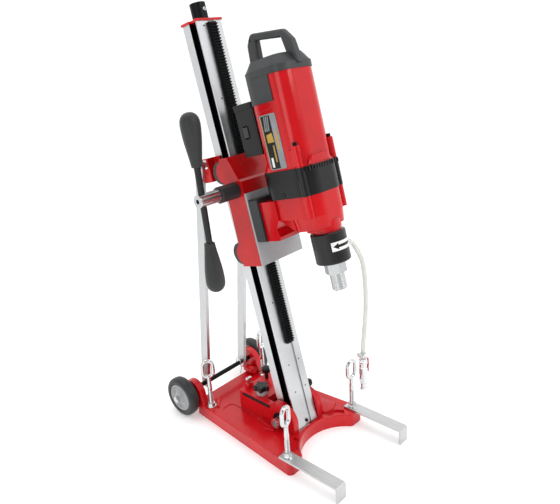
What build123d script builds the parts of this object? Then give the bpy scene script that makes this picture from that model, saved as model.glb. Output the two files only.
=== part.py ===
# Core drill rig: tilting mast on a wheeled base, with a rack-fed carriage and a wet drill motor.
# Millimetres. Origin on the floor, where the line of the mast's front face meets the base on the
# centre plane. +Z up, -Y towards the hole being drilled, the feed handle on the -X side.
# The mast leans back. Places on it are given as s, along it, and n, in front of its front face.
import math
import os

from build123d import *

os.makedirs("parts", exist_ok=True)

lean = 13.5  # the mast's lean from upright, degrees

# base casting
base_height = 34
deck = 8
skirt = 9
toe_half, tail_half = 139, 108  # half widths at the toes and at the tail
toe_y, tail_y = -56, 308
notch_half, notch_y = 95, -1
rib = 8
pocket_depth = 5

# levelling eye bolts
eye_shank_r = 6
eye_height = 112  # ring centre above the deck
eye_wire_r = 5
eye_ring_r = 13.5
eye_ring_straight = 18
front_bolt = (122.7, -35.3)
rear_bolt = (96.8, 256.2)
flange_nut_r, flange_nut_h = 12, 11

# outrigger bars
bar_width, bar_thick, bar_reach = 30, 5, 153

# tilt bracket and pivot
pivot_y, pivot_z = 50, 58
pivot_r = 8
cheek_r, cheek_thick = 45, 16
cheek_front_y = 5
bridge_front_y, bridge_rear_y, bridge_top_z = 107, 190, 88
knob_x, knob_y, knob_collar = -30, 132, 13
fit = 0.05  # radial clearance of a running fit
gap = 0.4  # clearance between pieces that slide past each other

# wheels and rear rod
wheel_r, wheel_width, wheel_y = 53, 28, 330
rim_r = 36
axle_r = 6
ear_inner, ear_thick = 94, 18
rod_r, rod_y, rod_z = 6, 308, 72

# mast
mast_w, mast_d = 70, 49
mast_bottom, mast_top = 34.5, 1004
groove_lip, groove_w, groove_deep = 4, 22, 13
tube_r, tube_wall, tube_top, tube_inside = 17.5, 4, 1046, 150
cap_thick = 5
rack_x, rack_w, rack_bottom = 3.5, 20, 252
rack_pitch_n, module = 10, 2
rack_seat = 2

# strut clamp and struts
clamp_s, clamp_half_h = 692, 27
clamp_wall = 8
strut_x, strut_thick, strut_depth = 66, 9, 25
strut_top_n, strut_top_s = -72.7, 706
strut_bolt_r = 5
slot_reach = 20  # how far the bolt can shift in the clamp's slot, each way

# carriage and feed
carriage_half = 66
carriage_wall = 5.5
carriage_top, carriage_bottom = 712, 466
box_top, box_bottom, box_n = 661, 629, 50
pinion_teeth = 16
feed_shaft_r = 12
feed_s = 640
collar_r, collar_len = 18, 51
hub_r, hub_end = 14, 173
handle_x, handle_lean = 160, 8.8
handle_up, handle_down, handle_rod_r = 180, 202, 7
grip_len, grip_r, grip_neck_r = 110, 21, 11.5
guide_s = (495, 681)
disc_r = 25.5
lobe_n, lobe_r = 2, 25  # the cheeks' round ends, in front of the guides
front_plate_thick = 5
mount_half, mount_n, mount_low, mount_high = 65, 82, 519, 614
footing_half = 59  # half width of the gear housing's foot

# motor, gearbox and spindle
motor_n, spindle_n = 165, 201
motor_half, motor_rear, motor_front = 55, 109, 225
motor_round = 34
ring_rear, ring_front, ring_round = 94, 232, 38
ring_low, ring_high = 605, 663
housing_top = 850
cap_top = housing_top + 34
gear_low = 525
belly_low, belly_rear = 533, 140
shell = 5
swivel_r, swivel_low, swivel_high = 37.5, 454, 520
hex_af, hex_low = 41, 430
thread_r, thread_low = 15.875, 393
spindle_r, water_bore_r = 12.5, 5
lay_x, lay_n, lay_r = 19.8, 178.5, 6
armature_r, armature_shaft_r = 24, 6

# water hose: its line from the barb to the valve, chosen by hand
hose_r, hose_bore_r = 5.5, 3.5
hose_s = 487
hose_points = [  # x and z of its line, in the plane of the spindle's axis at the port
    (69.5, 508.6), (85, 493.5), (99.5, 472), (112, 450), (119.5, 412), (123.5, 368), (122.5, 322),
    (117, 280), (111.5, 245), (109.5, 222), (109.5, 200),
]
barb_droop = 12  # how far the swivel's barb points below level, degrees
valve_r, valve_len = 9.5, 66

up_dir = Vector(0, math.sin(math.radians(lean)), math.cos(math.radians(lean)))
front_dir = Vector(0, -math.cos(math.radians(lean)), math.sin(math.radians(lean)))


def rise(s, x=0, n=0, turn=0):
    """Plane square to the mast at s. Local axes: X and -n, turned by an angle in degrees."""
    first = Vector(math.cos(math.radians(turn)), 0, 0) - front_dir * math.sin(math.radians(turn))
    return Plane(origin=up_dir * s + front_dir * n + Vector(x, 0, 0), x_dir=first, z_dir=up_dir)


def front(n, x=0, s=0):
    """Plane facing forward at n. Local axes: X and s."""
    return Plane(origin=up_dir * s + front_dir * n + Vector(x, 0, 0), x_dir=(1, 0, 0), z_dir=front_dir)


def flank(x, n=0, s=0):
    """Plane across the rig at x. Local axes: n and s. It extrudes towards -X."""
    return Plane(origin=up_dir * s + front_dir * n + Vector(x, 0, 0), x_dir=front_dir, z_dir=(-1, 0, 0))


def side(x, y=0, z=0):
    """Upright plane across the rig at x. Local axes: Y and Z. It extrudes towards +X."""
    return Plane(origin=(x, y, z), x_dir=(0, 1, 0), z_dir=(1, 0, 0))


def save(part, name):
    part.part.label = name
    export_step(part.part, f"parts/{name}.step")


def gear_outline(teeth, mod, thick=0.8):
    """Points of a spur gear with straight-flanked teeth, thinned so that it runs free of its mates."""
    pitch_r = teeth * mod / 2
    half = math.pi / (2 * teeth)
    profile = (
        (pitch_r - 1.2 * mod, -thick - 0.5), (pitch_r, -thick), (pitch_r + 0.8 * mod, -thick + 0.45),
        (pitch_r + 0.8 * mod, thick - 0.45), (pitch_r, thick), (pitch_r - 1.2 * mod, thick + 0.5),
    )
    points = []
    for tooth in range(teeth):
        middle = 2 * math.pi * tooth / teeth
        for radius, share in profile:
            angle = middle + share * half
            points.append((radius * math.cos(angle), radius * math.sin(angle)))
    return points


# ---- base casting -------------------------------------------------------------------------
bolt_places = [
    (-front_bolt[0], front_bolt[1]), front_bolt, (-rear_bolt[0], rear_bolt[1]), rear_bolt,
]
foot_half = mast_w / 2 + 2.5  # half width of the opening for the mast's foot

with BuildSketch() as base_outline:
    with BuildLine():
        ThreePointArc((-notch_half, toe_y), (0, notch_y), (notch_half, toe_y))
        Polyline(
            (notch_half, toe_y), (toe_half, toe_y), (tail_half, tail_y),
            (-tail_half, tail_y), (-toe_half, toe_y), (-notch_half, toe_y),
        )
    make_face()
    fillet(base_outline.vertices().group_by(Axis.Y)[0], 12)
    fillet(base_outline.vertices().group_by(Axis.Y)[-1], 14)

with BuildPart() as base_plate:
    add(base_outline.sketch)
    extrude(amount=base_height)
    fillet(base_plate.faces().sort_by(Axis.Z)[-1].edges(), 2.5)
    # hollow underside with ribs beside the mast's foot and a boss under each levelling bolt
    with BuildSketch():
        add(base_outline.sketch)
        offset(amount=-skirt, kind=Kind.INTERSECTION)
    extrude(amount=base_height - deck, mode=Mode.SUBTRACT)
    with BuildSketch():
        with Locations((-foot_half - rib / 2, tail_y / 2 + 3), (foot_half + rib / 2, tail_y / 2 + 3)):
            Rectangle(rib, tail_y - 12)
        with Locations((0, bridge_front_y), (0, bridge_rear_y)):
            Rectangle(2 * foot_half + rib, rib)
    extrude(amount=base_height - deck / 2)
    with BuildSketch():
        with Locations(*bolt_places):
            Circle(eye_shank_r + 7)
    extrude(amount=base_height - deck / 2)
    # shallow pockets beside the notch
    for hand in (-1, 1):
        with BuildSketch(Plane.XY.offset(base_height - pocket_depth)):
            with BuildLine():
                Polyline(
                    (hand * 58, 2), (hand * 88, -8), (hand * 100, -26), (hand * 88, -39),
                    (hand * 76, -24), (hand * 58, -13), (hand * 58, 2),
                )
            make_face()
        extrude(amount=pocket_depth + 1, mode=Mode.SUBTRACT)
    # shallow recess on each side of the deck
    with BuildSketch(Plane.XY.offset(base_height - 1.5)):
        with Locations((-(foot_half + 36), 165), (foot_half + 36, 165)):
            RectangleRounded(38, 120, 12)
    extrude(amount=2, mode=Mode.SUBTRACT)
    # opening for the mast's foot and the levelling screw holes
    with BuildSketch():
        with Locations((0, (cheek_front_y + 0.5 + 100) / 2)):
            Rectangle(2 * foot_half, 100 - cheek_front_y - 0.5)
    extrude(amount=base_height + 1, mode=Mode.SUBTRACT)
    with Locations(*[(x, y, 0) for x, y in bolt_places]):
        Cylinder(
            eye_shank_r + fit, base_height + 2, mode=Mode.SUBTRACT,
            align=(Align.CENTER, Align.CENTER, Align.MIN),
        )
    # ears that carry the wheels and the rear rod
    ear_y = rear_bolt[1] + flange_nut_r + 1.5
    for ear_x in (-ear_inner - ear_thick, ear_inner):
        with BuildSketch(side(ear_x)):
            with BuildLine():
                foot = Polyline(
                    (ear_y, base_height - deck), (ear_y, base_height), (ear_y + 9, base_height + 28)
                )
                ThreePointArc(foot @ 1, (tail_y - 3, base_height + 60), (wheel_y + 18, base_height + 30))
                Polyline(
                    (wheel_y + 18, base_height + 30), (wheel_y + 18, base_height - 4),
                    (tail_y - 6, base_height - deck), (ear_y, base_height - deck),
                )
            make_face()
            with Locations((wheel_y, wheel_r + 0.5)):
                Circle(axle_r + fit, mode=Mode.SUBTRACT)
            with Locations((rod_y, rod_z)):
                Circle(rod_r + fit, mode=Mode.SUBTRACT)
        extrude(amount=ear_thick)
save(base_plate, "base_plate")

# ---- tilt bracket: two arched cheeks joined by a bridge -------------------------------------
arch_mid, arch_end = math.radians(60), math.radians(42)
with BuildPart() as tilt_bracket:
    for cheek_x in (-foot_half - cheek_thick, foot_half):
        with BuildSketch(side(cheek_x)):
            with BuildLine():
                arch = ThreePointArc(
                    (cheek_front_y, pivot_z),
                    (pivot_y - cheek_r * math.cos(arch_mid), pivot_z + cheek_r * math.sin(arch_mid)),
                    (pivot_y + cheek_r * math.cos(arch_end), pivot_z + cheek_r * math.sin(arch_end)),
                )
                Polyline(
                    arch @ 1, (bridge_front_y, bridge_top_z), (bridge_rear_y, bridge_top_z),
                    (bridge_rear_y, base_height), (cheek_front_y, base_height), arch @ 0,
                )
            make_face()
            with Locations((pivot_y, pivot_z)):
                Circle(pivot_r + fit, mode=Mode.SUBTRACT)
        extrude(amount=cheek_thick)
    with BuildSketch(side(-foot_half)):
        with BuildLine():
            Polyline(
                (bridge_front_y, bridge_top_z), (bridge_rear_y, bridge_top_z), (bridge_rear_y, base_height),
                (bridge_rear_y - 12, base_height), (bridge_rear_y - 12, bridge_top_z - 12),
                (bridge_front_y + 8, bridge_top_z - 12), (bridge_front_y, bridge_top_z - 18),
                (bridge_front_y, bridge_top_z),
            )
        make_face()
    extrude(amount=2 * foot_half)
    with Locations((knob_x, knob_y, bridge_top_z - 12)):
        Cylinder(
            5 + fit, 40, mode=Mode.SUBTRACT, align=(Align.CENTER, Align.CENTER, Align.MIN)
        )
save(tilt_bracket, "tilt_bracket")

cheek_out = foot_half + cheek_thick
with BuildPart() as pivot_bolt:
    with BuildSketch(side(-cheek_out - 4)):
        with Locations((pivot_y, pivot_z)):
            Circle(pivot_r)
    extrude(amount=2 * cheek_out + 20)
    with BuildSketch(side(-cheek_out - 4 - 16)):
        with Locations((pivot_y, pivot_z)):
            Circle(12)
    extrude(amount=16)
    with BuildSketch(side(-cheek_out - 4 - 16)):
        with Locations((pivot_y, pivot_z)):
            RegularPolygon(8, 6)
    extrude(amount=8, mode=Mode.SUBTRACT)
    # washers and nut, each its own solid
    for washer_x in (-cheek_out - 4, cheek_out + 0.05):
        with BuildSketch(side(washer_x)):
            with Locations((pivot_y, pivot_z)):
                Circle(20)
                Circle(pivot_r + fit, mode=Mode.SUBTRACT)
        extrude(amount=3.9)
    with BuildSketch(side(cheek_out + 4)):
        with Locations((pivot_y, pivot_z)):
            RegularPolygon(13.8, 6)
            Circle(pivot_r + fit, mode=Mode.SUBTRACT)
    extrude(amount=13)
save(pivot_bolt, "pivot_bolt")

with BuildPart() as scale_strip:
    for strip_x in (-cheek_out - 2, cheek_out):
        with BuildSketch(side(strip_x)):
            with Locations(((84 + bridge_rear_y - 12) / 2, bridge_top_z - 6)):
                Rectangle(bridge_rear_y - 12 - 84, 7)
        extrude(amount=2)
save(scale_strip, "scale_strip")

with BuildPart() as tilt_knob:
    with Locations((knob_x, knob_y, bridge_top_z - 20)):
        Cylinder(5, 34, align=(Align.CENTER, Align.CENTER, Align.MIN))
    with Locations((knob_x, knob_y, bridge_top_z + 0.3)):
        Cylinder(13.5, knob_collar, align=(Align.CENTER, Align.CENTER, Align.MIN))
    with BuildSketch(Plane.XY.offset(bridge_top_z + knob_collar)):
        with Locations((knob_x, knob_y)):
            Circle(15)
            with PolarLocations(15, 5):
                Circle(5.5)
    extrude(amount=13)
    fillet(tilt_knob.faces().sort_by(Axis.Z)[-1].edges(), 3)
save(tilt_knob, "tilt_knob")

# ---- levelling eye bolts, flange nuts and outrigger bars -------------------------------------
# the front bolts pass through the outrigger bars, so their nuts stand one bar higher
seat_z = {"fl": base_height + bar_thick, "fr": base_height + bar_thick, "rl": base_height, "rr": base_height}
eye_turn = {"fl": 10, "fr": -6, "rl": -30, "rr": 20}
for (place, turn), (bolt_x, bolt_y) in zip(eye_turn.items(), bolt_places):
    ring_z = base_height + eye_height
    ring_plane = Plane(
        origin=(bolt_x, bolt_y, ring_z),
        x_dir=(math.cos(math.radians(turn)), math.sin(math.radians(turn)), 0),
        z_dir=(math.sin(math.radians(turn)), -math.cos(math.radians(turn)), 0),
    )
    with BuildPart() as eye_bolt:
        with Locations((bolt_x, bolt_y, 0.6)):
            Cylinder(
                eye_shank_r, ring_z - eye_ring_straight / 2 - eye_ring_r - 0.6,
                align=(Align.CENTER, Align.CENTER, Align.MIN),
            )
        with BuildLine(ring_plane) as ring_path:
            Line((-eye_ring_r, -eye_ring_straight / 2), (-eye_ring_r, eye_ring_straight / 2))
            ThreePointArc(
                (-eye_ring_r, eye_ring_straight / 2), (0, eye_ring_straight / 2 + eye_ring_r),
                (eye_ring_r, eye_ring_straight / 2),
            )
            Line((eye_ring_r, eye_ring_straight / 2), (eye_ring_r, -eye_ring_straight / 2))
            ThreePointArc(
                (eye_ring_r, -eye_ring_straight / 2), (0, -eye_ring_straight / 2 - eye_ring_r),
                (-eye_ring_r, -eye_ring_straight / 2),
            )
        with BuildSketch(Plane(origin=ring_path.line @ 0, z_dir=ring_path.line % 0)):
            Circle(eye_wire_r)
        sweep(path=ring_path.line)
    save(eye_bolt, f"eye_bolt_{place}")

with BuildPart() as flange_nuts:
    for (place, seat), (bolt_x, bolt_y) in zip(seat_z.items(), bolt_places):
        with BuildSketch(Plane.XY.offset(seat)):
            with Locations((bolt_x, bolt_y)):
                Circle(flange_nut_r)
                Circle(eye_shank_r + fit, mode=Mode.SUBTRACT)
        extrude(amount=3)
        with BuildSketch(Plane.XY.offset(seat + 3)):
            with Locations((bolt_x, bolt_y)):
                RegularPolygon(flange_nut_r - 2, 6)
                Circle(eye_shank_r + fit, mode=Mode.SUBTRACT)
        extrude(amount=flange_nut_h - 3)
save(flange_nuts, "flange_nuts")

for hand, name in ((-1, "outrigger_left"), (1, "outrigger_right")):
    bar_x, bar_y = hand * front_bolt[0], front_bolt[1]
    with BuildPart() as outrigger:
        with BuildSketch(Plane.XY.offset(base_height)):
            with Locations((bar_x, bar_y - bar_reach / 2 + bar_width / 4)):
                Rectangle(bar_width, bar_reach + bar_width / 2)
            with Locations((bar_x, bar_y)):
                Circle(eye_shank_r + fit, mode=Mode.SUBTRACT)
        extrude(amount=bar_thick)
        with BuildSketch():
            with Locations((bar_x, bar_y - bar_reach + bar_thick / 2)):
                Rectangle(bar_width, bar_thick)
        extrude(amount=base_height + bar_thick)
        fillet(outrigger.edges().filter_by(Axis.X).sort_by(Axis.Y)[:2].sort_by(Axis.Z)[-1], bar_thick - 0.5)
    save(outrigger, name)

# ---- wheels, their axle bolts and the rear rod ------------------------------------------------
wheel_inner = ear_inner + ear_thick + 4
axle_z = wheel_r + 0.5
for hand, name in ((-1, "left"), (1, "right")):
    wheel_plane = Plane(origin=(hand * wheel_inner, wheel_y, axle_z), x_dir=(0, 1, 0), z_dir=(hand, 0, 0))
    profile = Plane(origin=wheel_plane.origin, x_dir=(hand, 0, 0), z_dir=(0, hand, 0))
    spin_axis = Axis(wheel_plane.origin, (1, 0, 0))
    with BuildPart() as tyre:
        with BuildSketch(profile):
            with BuildLine():
                Polyline((3, rim_r), (0, wheel_r - 8), (5, wheel_r - 1.5))
                ThreePointArc(
                    (5, wheel_r - 1.5), (wheel_width / 2, wheel_r), (wheel_width - 5, wheel_r - 1.5)
                )
                Polyline(
                    (wheel_width - 5, wheel_r - 1.5), (wheel_width, wheel_r - 8), (wheel_width - 3, rim_r),
                    (3, rim_r),
                )
            make_face()
        revolve(axis=spin_axis)
    save(tyre, f"tyre_{name}")
    with BuildPart() as rim:
        with BuildSketch(profile):
            with BuildLine():
                Polyline(
                    (2, rim_r - 0.1), (wheel_width - 2, rim_r - 0.1), (wheel_width - 2, rim_r - 5),
                    (wheel_width - 8, rim_r - 8), (wheel_width - 8, 20), (wheel_width - 4, 17),
                    (wheel_width + 3, 13), (wheel_width + 3, axle_r + fit), (-3, axle_r + fit), (-3, 13),
                    (8, 17), (8, rim_r - 8), (2, rim_r - 5), (2, rim_r - 0.1),
                )
            make_face()
        revolve(axis=spin_axis)
    save(rim, f"rim_{name}")

with BuildPart() as wheel_axles:
    for hand in (-1, 1):
        start = Plane(origin=(hand * (ear_inner - 9), wheel_y, axle_z), z_dir=(hand, 0, 0))
        with BuildSketch(start):
            Circle(axle_r)
        extrude(amount=ear_thick + 9 + 4 + wheel_width + 12)
        with BuildSketch(start):
            RegularPolygon(10, 6)
        extrude(amount=8.5)
        with BuildSketch(start.offset(9 + ear_thick + 4 + wheel_width + 3.5)):
            RegularPolygon(9.5, 6)
        extrude(amount=7)
save(wheel_axles, "wheel_axles")

ear_outer = ear_inner + ear_thick
with BuildPart() as cross_rod:
    with BuildSketch(side(-ear_outer - 1)):
        with Locations((rod_y, rod_z)):
            Circle(rod_r)
    extrude(amount=2 * ear_outer + 2)
save(cross_rod, "cross_rod")

clip_x = strut_x - strut_thick / 2 - 8
with BuildPart() as r_clip:
    with BuildLine(side(clip_x)) as clip_line:
        FilletPolyline(
            (rod_y - 5, rod_z - 30), (rod_y - 10, rod_z - 12), (rod_y - 8.5, rod_z + 8),
            (rod_y, rod_z + 18), (rod_y + 9, rod_z + 12), (rod_y + 8, rod_z - 4),
            radius=4,
        )
    with BuildSketch(Plane(origin=clip_line.line @ 0, z_dir=clip_line.line % 0)):
        Circle(1.2)
    sweep(path=clip_line.line)
save(r_clip, "r_clip")

# ---- mast ------------------------------------------------------------------------------------
groove_mid_n = -groove_lip - groove_w / 2
tube_n = -mast_d / 2 + 0.5
mast_len = mast_top - mast_bottom

with BuildPart() as mast_profile:
    with BuildSketch(rise(mast_bottom)):
        with Locations((0, mast_d / 2)):
            Rectangle(mast_w, mast_d)
        for hand in (-1, 1):
            with Locations((hand * (mast_w / 2 - groove_deep / 2 + 0.5), -groove_mid_n)):
                Rectangle(groove_deep + 1, groove_w, mode=Mode.SUBTRACT)
            with Locations((hand * (mast_w / 2 - 9), mast_d - 10)):
                Rectangle(9, 12, mode=Mode.SUBTRACT)
        with Locations((rack_x, rack_seat / 2 - 0.5)):
            Rectangle(rack_w + 0.6, rack_seat + 1, mode=Mode.SUBTRACT)
        with Locations((0, -tube_n)):
            Circle(tube_r + fit, mode=Mode.SUBTRACT)
    extrude(amount=mast_len)
    # pivot boss across the foot, with the pivot's bore
    with BuildSketch(side(-mast_w / 2)):
        with Locations((pivot_y, pivot_z)):
            Circle(pivot_r + 6)
    extrude(amount=mast_w)
    with BuildSketch(side(-mast_w / 2 - 1)):
        with Locations((pivot_y, pivot_z)):
            Circle(pivot_r + fit)
    extrude(amount=mast_w + 2, mode=Mode.SUBTRACT)
save(mast_profile, "mast_profile")

rack_top = mast_top - 4
tooth_pitch = math.pi * module
with BuildPart() as rack:
    root_n, tip_n = rack_pitch_n - 1.25 * module, rack_pitch_n + 0.9 * module
    with BuildSketch(flank(rack_x + rack_w / 2)):
        with Locations(((root_n - rack_seat) / 2, (rack_top + rack_bottom) / 2)):
            Rectangle(root_n + rack_seat - 0.1, rack_top - rack_bottom)
    extrude(amount=rack_w)
    first_tooth = math.ceil((rack_bottom + 1 - feed_s) / tooth_pitch)
    last_tooth = math.floor((rack_top - 1 - feed_s) / tooth_pitch) - 1
    with BuildSketch(flank(rack_x + rack_w / 2)):
        for tooth in range(first_tooth, last_tooth + 1):
            middle = feed_s + (tooth + 0.5) * tooth_pitch
            with BuildLine():
                Polyline(
                    (root_n - 0.5, middle - 0.36 * tooth_pitch), (root_n, middle - 0.36 * tooth_pitch),
                    (tip_n, middle - 0.12 * tooth_pitch), (tip_n, middle + 0.12 * tooth_pitch),
                    (root_n, middle + 0.36 * tooth_pitch), (root_n - 0.5, middle + 0.36 * tooth_pitch),
                    (root_n - 0.5, middle - 0.36 * tooth_pitch),
                )
            make_face()
    extrude(amount=rack_w)
save(rack, "rack")

with BuildPart() as top_cap:
    with BuildSketch(rise(mast_top + 0.05)):
        with Locations((0, mast_d / 2)):
            Rectangle(mast_w + 5, mast_d + 5)
        for hand in (-1, 1):
            with Locations((hand * (mast_w / 2 + 1), -groove_mid_n)):
                Rectangle(8, groove_w - 6, mode=Mode.SUBTRACT)
        with Locations((0, -tube_n)):
            Circle(tube_r + fit, mode=Mode.SUBTRACT)
    extrude(amount=cap_thick)
save(top_cap, "top_cap")

with BuildPart() as brace_tube:
    with BuildSketch(rise(mast_top - tube_inside)):
        with Locations((0, -tube_n)):
            Circle(tube_r)
            Circle(tube_r - tube_wall, mode=Mode.SUBTRACT)
    extrude(amount=tube_top - mast_top + tube_inside)
    with BuildSketch(front(tube_n + tube_r - tube_wall, 0, tube_top - 16)):
        Circle(4)
    extrude(amount=tube_wall + 3)
    with BuildSketch(front(tube_n + tube_r + 1, 0, tube_top - 16)):
        RegularPolygon(2.6, 6)
    extrude(amount=3, mode=Mode.SUBTRACT)
save(brace_tube, "brace_tube")

# ---- strut clamp on the back of the mast, and the two struts -----------------------------------
clamp_n0 = -mast_d - 0.1
clamp_lug_x = strut_x - strut_thick / 2 - gap
with BuildPart() as strut_clamp:
    with BuildSketch(rise(clamp_s - clamp_half_h)):
        with Locations((0, -clamp_n0 + clamp_wall / 2)):
            Rectangle(2 * clamp_lug_x - 4, clamp_wall)
    extrude(amount=2 * clamp_half_h)
    # lugs with slots for the strut bolts
    for lug_x in (-clamp_lug_x + 8, clamp_lug_x):
        with BuildSketch(flank(lug_x)):
            with Locations((clamp_n0 - 28, clamp_s)):
                Rectangle(56, 2 * clamp_half_h)
            with Locations((strut_top_n - 3, strut_top_s)):
                SlotCenterToCenter(2 * slot_reach - 8, 2 * strut_bolt_r + 10, mode=Mode.SUBTRACT)
        extrude(amount=8)
    # cheeks that stand beside the mast's rear strips
    for hand in (-1, 1):
        with BuildSketch(rise(clamp_s - clamp_half_h)):
            with Locations((hand * (mast_w / 2 + 3.1), mast_d - 10)):
                Rectangle(6, 22)
        extrude(amount=2 * clamp_half_h)
save(strut_clamp, "strut_clamp")

with BuildPart() as clamp_bolts:
    for bolt_s in (clamp_s - 12, clamp_s + 12):
        with BuildSketch(front(clamp_n0 - clamp_wall - 0.05, 0, bolt_s)):
            RegularPolygon(8.5, 6)
        extrude(amount=-7)
save(clamp_bolts, "clamp_bolts")

foot_pin = Vector(0, rod_y, rod_z)
head_pin = up_dir * strut_top_s + front_dir * strut_top_n
strut_run = head_pin - foot_pin
strut_len = strut_run.length
strut_dir = strut_run.normalized()
for hand, name in ((-1, "strut_left"), (1, "strut_right")):
    with BuildPart() as strut:
        strut_face = Plane(
            origin=foot_pin + Vector(hand * strut_x - strut_thick / 2, 0, 0),
            x_dir=strut_dir, z_dir=(1, 0, 0),
        )
        with BuildSketch(strut_face):
            with Locations((strut_len / 2, 0)):
                SlotOverall(strut_len + strut_depth, strut_depth)
            Circle(rod_r + fit, mode=Mode.SUBTRACT)
            with Locations((strut_len, 0)):
                Circle(strut_bolt_r + fit, mode=Mode.SUBTRACT)
        extrude(amount=strut_thick)
    save(strut, name)

with BuildPart() as strut_bolts:
    for hand in (-1, 1):
        bolt_line = Plane(origin=head_pin + Vector(hand * (clamp_lug_x - 14), 0, 0), z_dir=(hand, 0, 0))
        with BuildSketch(bolt_line):
            Circle(strut_bolt_r)
        extrude(amount=strut_thick + 14 + gap + 3)
        with BuildSketch(bolt_line.offset(14 + gap + strut_thick + 0.2)):
            RegularPolygon(8.5, 6)
        extrude(amount=7)
        with BuildSketch(bolt_line):
            RegularPolygon(8.5, 6)
        extrude(amount=5.5)
save(strut_bolts, "strut_bolts")

# ---- carriage ----------------------------------------------------------------------------------
feed_n = rack_pitch_n + module * pinion_teeth / 2
feed_clear_n = feed_n + module * (pinion_teeth / 2 + 0.9) + 0.7
inner_half = carriage_half - carriage_wall
guide_pin_r, pin_seat = 5, 3
with BuildPart() as carriage_casting:
    # cheeks with round ends over the guides
    for cheek_x in (carriage_half, -inner_half):
        with BuildSketch(flank(cheek_x)):
            with BuildLine():
                Polyline(
                    (-4, carriage_top), (22, carriage_top), (43, box_top), (box_n, box_top - 5),
                    (box_n, carriage_bottom), (-10, carriage_bottom), (-4, carriage_top),
                )
            make_face()
            with Locations(*[(lobe_n, s) for s in guide_s]):
                Circle(lobe_r)
            with Locations((feed_n, feed_s)):
                Circle(feed_shaft_r + fit, mode=Mode.SUBTRACT)
        extrude(amount=carriage_wall)
    # blind bores in the cheeks for the guide pins
    for bore_x in (inner_half + pin_seat, 1 - inner_half):
        with BuildSketch(flank(bore_x)):
            with Locations(*[(groove_mid_n, s) for s in guide_s]):
                Circle(guide_pin_r + fit)
        extrude(amount=pin_seat + 1, mode=Mode.SUBTRACT)
    # sloping hood and front box between the cheeks, clear of the rack and the feed gear
    with BuildSketch(flank(inner_half)):
        with BuildLine():
            Polyline(
                (13.5, carriage_top), (22, carriage_top), (43, box_top), (box_n, box_top - 5),
                (box_n, box_bottom), (feed_clear_n, box_bottom), (feed_clear_n, box_top - 9),
                (36.5, box_top - 3), (18, carriage_top - 8), (13.5, carriage_top - 8), (13.5, carriage_top),
            )
        make_face()
    extrude(amount=2 * inner_half)
    # tie bar at the foot of the carriage
    with BuildSketch(flank(inner_half)):
        with Locations((box_n - 8, carriage_bottom + 8)):
            Rectangle(16, 16)
    extrude(amount=2 * inner_half)
save(carriage_casting, "carriage_casting")

with BuildPart() as front_plate:
    with BuildSketch(front(box_n + 0.05)):
        with Locations((0, (carriage_bottom + box_bottom) / 2)):
            Rectangle(2 * carriage_half, box_bottom - carriage_bottom)
    extrude(amount=front_plate_thick)
save(front_plate, "front_plate")

pad_in = mast_w / 2 - groove_deep + gap
disc_in = inner_half - 5.5
with BuildPart() as guide_pads:
    for guide in guide_s:
        for hand in (-1, 1):
            with BuildSketch(flank(hand * (pad_in + disc_in - gap) / 2 + (disc_in - gap - pad_in) / 2)):
                with Locations((groove_mid_n, guide)):
                    RectangleRounded(groove_w - 2 * gap, 46, 5)
                    Circle(guide_pin_r + fit, mode=Mode.SUBTRACT)
            extrude(amount=disc_in - gap - pad_in)
save(guide_pads, "guide_pads")

with BuildPart() as guide_discs:
    for guide in guide_s:
        for hand in (-1, 1):
            start = Plane(
                origin=flank(hand * (pad_in + 3), groove_mid_n, guide).origin,
                x_dir=front_dir, z_dir=(hand, 0, 0),
            )
            with BuildSketch(start):
                Circle(guide_pin_r)
            extrude(amount=inner_half + pin_seat - 0.2 - pad_in - 3)
            with BuildSketch(start.offset(disc_in - pad_in - 3)):
                Circle(disc_r)
            extrude(amount=5.2)
save(guide_discs, "guide_discs")

collar_end = carriage_half + collar_len
with BuildPart() as feed_collar:
    with BuildSketch(flank(-carriage_half - 0.05)):
        with Locations((feed_n, feed_s)):
            Circle(collar_r)
            Circle(feed_shaft_r + fit, mode=Mode.SUBTRACT)
    extrude(amount=collar_len)
    chamfer(feed_collar.faces().sort_by(Axis.X)[0].edges().sort_by(SortBy.LENGTH)[-1], 1.5)
save(feed_collar, "feed_collar")

stub_r = 8
stub_len = handle_x - handle_rod_r - 2 - collar_end
pinion_half = rack_w / 2 + 3
with BuildPart() as feed_shaft:
    with BuildSketch(flank(carriage_half, feed_n, feed_s)):
        Circle(feed_shaft_r)
    extrude(amount=carriage_half + collar_end)
    with BuildSketch(flank(-collar_end, feed_n, feed_s)):
        Circle(stub_r)
    extrude(amount=stub_len)
    with BuildSketch(flank(rack_x + pinion_half, feed_n, feed_s)):
        Polygon(*gear_outline(pinion_teeth, module), align=None)
    extrude(amount=2 * pinion_half)
save(feed_shaft, "feed_shaft")

with BuildPart() as feed_hub:
    with BuildSketch(flank(-collar_end - gap, feed_n, feed_s)):
        Circle(hub_r)
    extrude(amount=hub_end - collar_end - gap)
    chamfer(feed_hub.faces().sort_by(Axis.X)[0].edges(), 1.5)
    with BuildSketch(flank(-collar_end, feed_n, feed_s)):
        Circle(stub_r + fit)
    extrude(amount=stub_len + gap, mode=Mode.SUBTRACT)
    with BuildSketch(flank(-hub_end - 1, feed_n, feed_s)):
        Circle(5)
    extrude(amount=-9, mode=Mode.SUBTRACT)
    tip = math.radians(handle_lean)
    handle_dir = up_dir * math.cos(tip) + front_dir * math.sin(tip)
    hub_middle = flank(-handle_x, feed_n, feed_s).origin
    with BuildSketch(Plane(origin=hub_middle, x_dir=(1, 0, 0), z_dir=handle_dir)):
        Circle(handle_rod_r + fit)
    extrude(amount=hub_r + 2, both=True, mode=Mode.SUBTRACT)
save(feed_hub, "feed_hub")

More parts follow.
